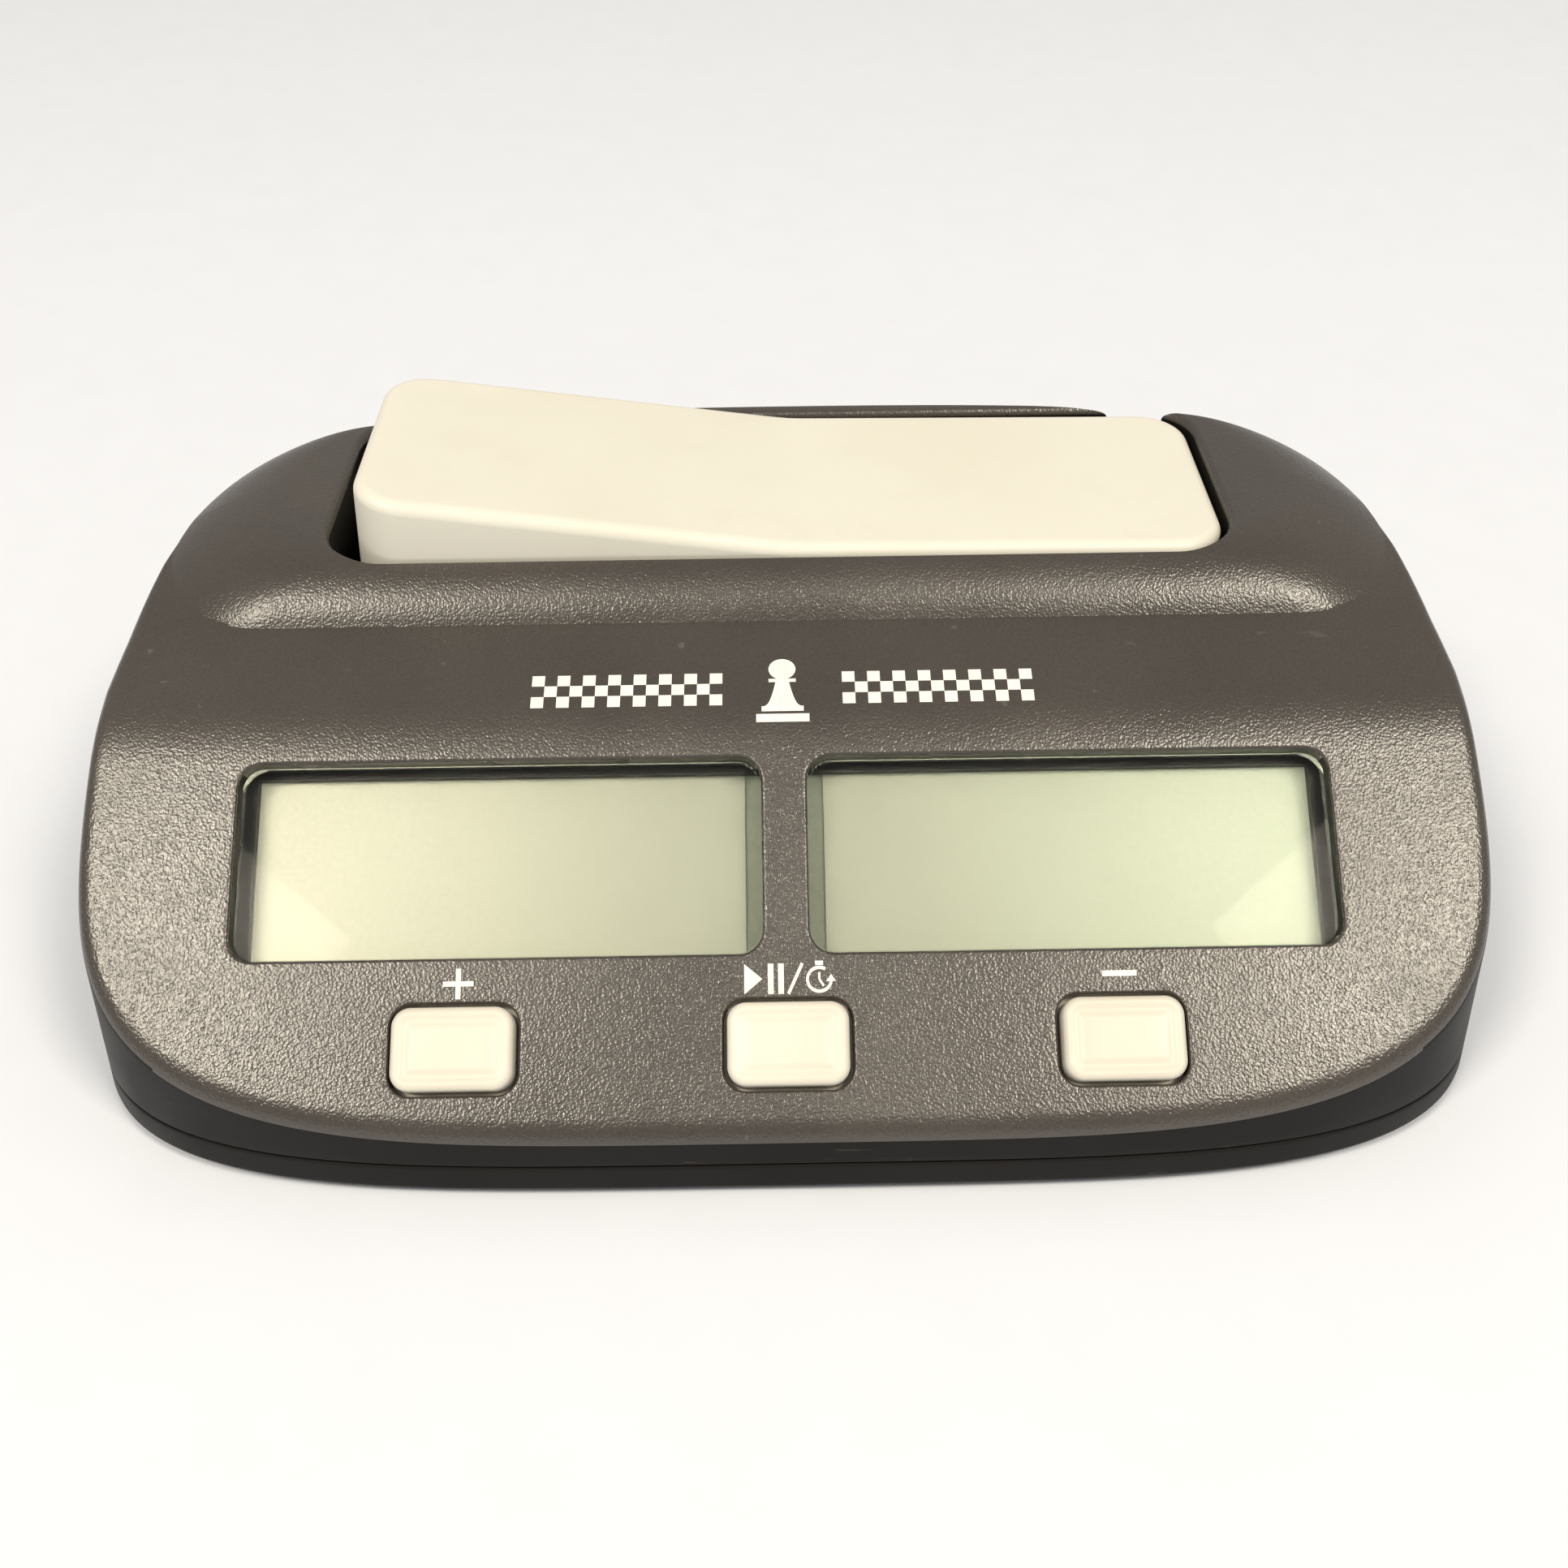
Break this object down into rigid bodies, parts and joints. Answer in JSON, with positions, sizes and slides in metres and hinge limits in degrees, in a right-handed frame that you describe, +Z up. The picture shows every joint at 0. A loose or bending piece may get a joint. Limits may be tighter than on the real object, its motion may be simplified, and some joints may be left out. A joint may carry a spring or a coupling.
{
  "type": "chess clock",
  "caption": "Battery-powered digital chess clock with a tilting rocker lever over a sloped face that carries blank LCD windows and push keys.",
  "frame": {"origin": "centre of the footprint on the surface the feet stand on", "axes": "+X to the viewer's right across the clock, +Y from the viewer's side to the back, +Z up"},
  "size_m": [0.156, 0.0962, 0.0509],
  "materials": {
    "shell": "fine leather-grain mould texture, semi-matte charcoal",
    "cream": "satin cream",
    "knob": "satin off-white",
    "inner_black": "matte black moulding",
    "lens": "clear polished acrylic",
    "lcd": "grey-green reflective display, blank",
    "polarizer": "grey-green film",
    "zebra": "layered conductive rubber",
    "board": "green solder mask",
    "epoxy": "black epoxy and plastic",
    "steel": "zinc-plated steel",
    "contact_plate": "plated spring brass",
    "rubber": "matte black rubber",
    "cell": "plain blue sleeve",
    "lead_red": "red insulation",
    "lead_black": "black insulation"
  },
  "bodies": {
    "case": {"top_shell": "shell", "bottom_shell": "shell", "foot_front_left": "rubber", "foot_front_right": "rubber", "foot_rear_left": "rubber", "foot_rear_right": "rubber", "case_screw_1": "steel", "case_screw_2": "steel", "case_screw_3": "steel", "case_screw_4": "steel", "board_screw_1": "steel", "board_screw_2": "steel", "board_screw_3": "steel", "board_screw_4": "steel", "rocker_cradle": "inner_black", "rocker_axle": "steel", "axle_clip_front": "steel", "axle_clip_rear": "steel", "cradle_screw_left": "steel", "cradle_screw_right": "steel", "stop_pad_left": "rubber", "stop_pad_right": "rubber", "rocker_switch": "inner_black", "plus_switch": "inner_black", "play_pause_switch": "inner_black", "minus_switch": "inner_black", "display_frame": "inner_black", "lens_left": "lens", "lens_right": "lens", "polarizer_left": "polarizer", "polarizer_right": "polarizer", "lcd_glass_left": "lcd", "lcd_glass_right": "lcd", "zebra_strip_left": "zebra", "zebra_strip_right": "zebra", "main_board": "board", "chip_blob": "epoxy", "crystal": "steel", "capacitor": "epoxy", "buzzer": "epoxy", "cell_left": "cell", "cell_right": "cell", "contact_spring_front": "steel", "contact_spring_rear": "steel", "contact_plate_front": "contact_plate", "contact_plate_rear": "contact_plate", "battery_lead_red": "lead_red", "battery_lead_black": "lead_black", "power_switch": "inner_black"},
    "rocker": {"rocker": "cream"},
    "rocker_switch_knob": {"rocker_switch_knob": "knob"},
    "plus_key": {"plus_key": "cream", "plus_plunger": "inner_black"},
    "play_pause_key": {"play_pause_key": "cream", "play_pause_plunger": "inner_black"},
    "minus_key": {"minus_key": "cream", "minus_plunger": "inner_black"},
    "battery_door": {"battery_door": "shell"},
    "power_switch_knob": {"power_switch_knob": "knob"}
  },
  "joints": [
    {"name": "rocker_tilt", "type": "hinge", "parent": "case", "child": "rocker", "pos_m": [0, 0.02515, 0.025], "axis": [0, 1, 0], "range_deg": [-8.6, 0]},
    {"name": "rocker_switch_travel", "type": "slide", "parent": "case", "child": "rocker_switch_knob", "axis": [1, 0, 0], "range_m": [0, 0.0022]},
    {"name": "plus_press", "type": "slide", "parent": "case", "child": "plus_key", "axis": [0, 0.5784, -0.8157], "range_m": [0, 0.001], "stiffness_N_per_m": 500},
    {"name": "play_pause_press", "type": "slide", "parent": "case", "child": "play_pause_key", "axis": [0, 0.5784, -0.8157], "range_m": [0, 0.001], "stiffness_N_per_m": 500},
    {"name": "minus_press", "type": "slide", "parent": "case", "child": "minus_key", "axis": [0, 0.5784, -0.8157], "range_m": [0, 0.001], "stiffness_N_per_m": 500},
    {"name": "battery_door_open", "type": "hinge", "parent": "case", "child": "battery_door", "pos_m": [-0.043, 0.0371, 0.001], "axis": [1, 0, 0], "range_deg": [0, 80]},
    {"name": "power_switch_travel", "type": "slide", "parent": "case", "child": "power_switch_knob", "axis": [1, 0, 0], "range_m": [0, 0.0035]}
  ],
  "couplings": [
    {"joint": "rocker_switch_travel", "follows": "rocker_tilt", "m_per_rad": -0.0145}
  ]
}
